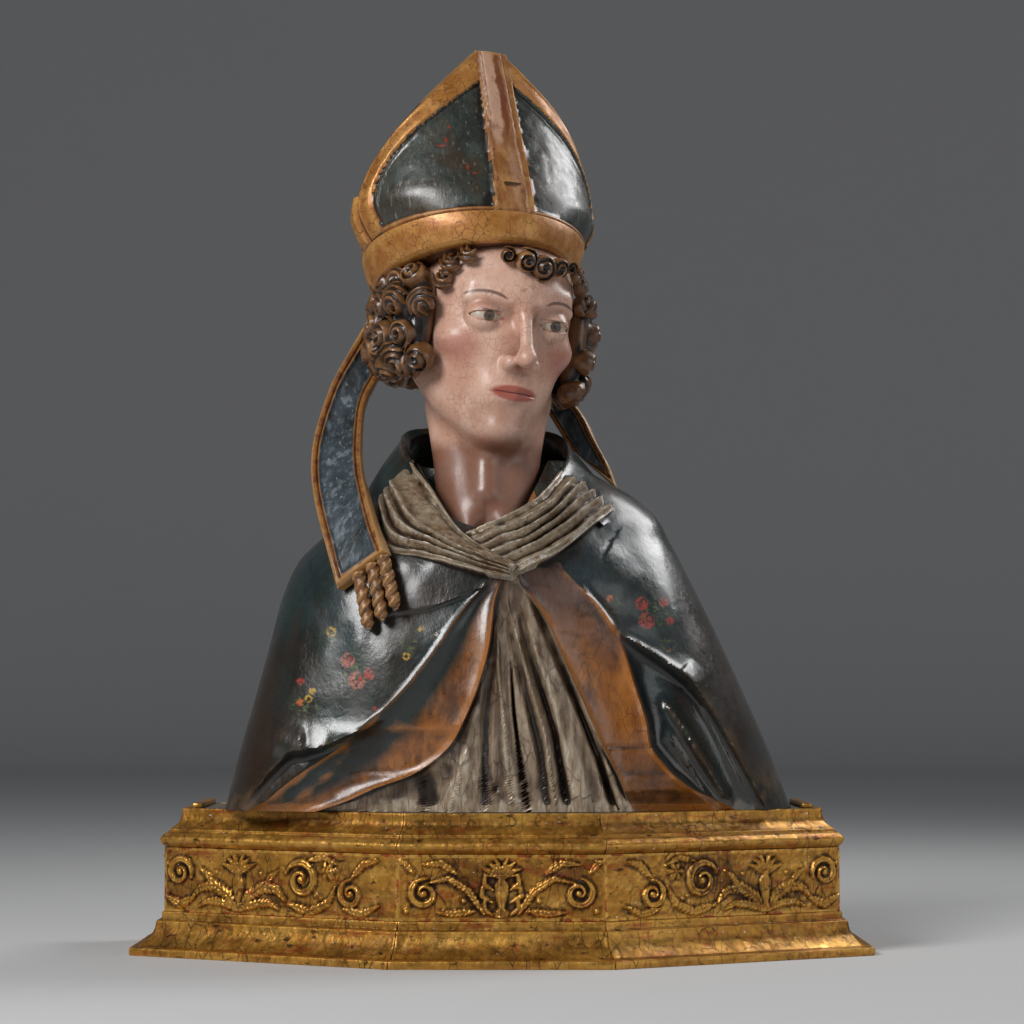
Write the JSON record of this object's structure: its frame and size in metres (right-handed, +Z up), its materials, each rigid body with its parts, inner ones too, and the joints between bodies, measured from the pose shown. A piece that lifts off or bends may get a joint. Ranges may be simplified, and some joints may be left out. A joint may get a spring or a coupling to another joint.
{
  "type": "sculpted bust",
  "caption": "Carved and painted wooden bust of a mitred churchman in a cope, head turned aside, on a gilded plinth with canted front corners.",
  "frame": {"origin": "middle of the plinth's underside, at the bottom centre of the bounding box", "axes": "+Z up, -Y towards the front, +X towards the viewer's right"},
  "size_m": [0.62, 0.32, 0.7649],
  "materials": {
    "painted_wood": "carved wood with aged oil paint, worn gilding and a glossy darkened varnish",
    "painted_board": "thin carved boards with grey-blue paint and worn gilt borders",
    "gilded_wood": "water gilding over red bole on carved wood, rubbed and crackled",
    "top_wood": "dusty grey-brown painted board"
  },
  "bodies": {
    "root": {"figure": "painted_wood", "lappet_left": "painted_board", "lappet_right": "painted_board", "plinth_foot_1": "gilded_wood", "plinth_foot_2": "gilded_wood", "plinth_foot_3": "gilded_wood", "plinth_foot_4": "gilded_wood", "plinth_foot_5": "gilded_wood", "plinth_foot_6": "gilded_wood", "plinth_frieze_1": "gilded_wood", "plinth_frieze_2": "gilded_wood", "plinth_frieze_3": "gilded_wood", "plinth_frieze_4": "gilded_wood", "plinth_frieze_5": "gilded_wood", "plinth_frieze_6": "gilded_wood", "plinth_cornice_1": "gilded_wood", "plinth_cornice_2": "gilded_wood", "plinth_cornice_3": "gilded_wood", "plinth_cornice_4": "gilded_wood", "plinth_cornice_5": "gilded_wood", "plinth_cornice_6": "gilded_wood", "plinth_top": "top_wood", "end_strip_left": "gilded_wood", "end_strip_right": "gilded_wood"}
  },
  "joints": []
}
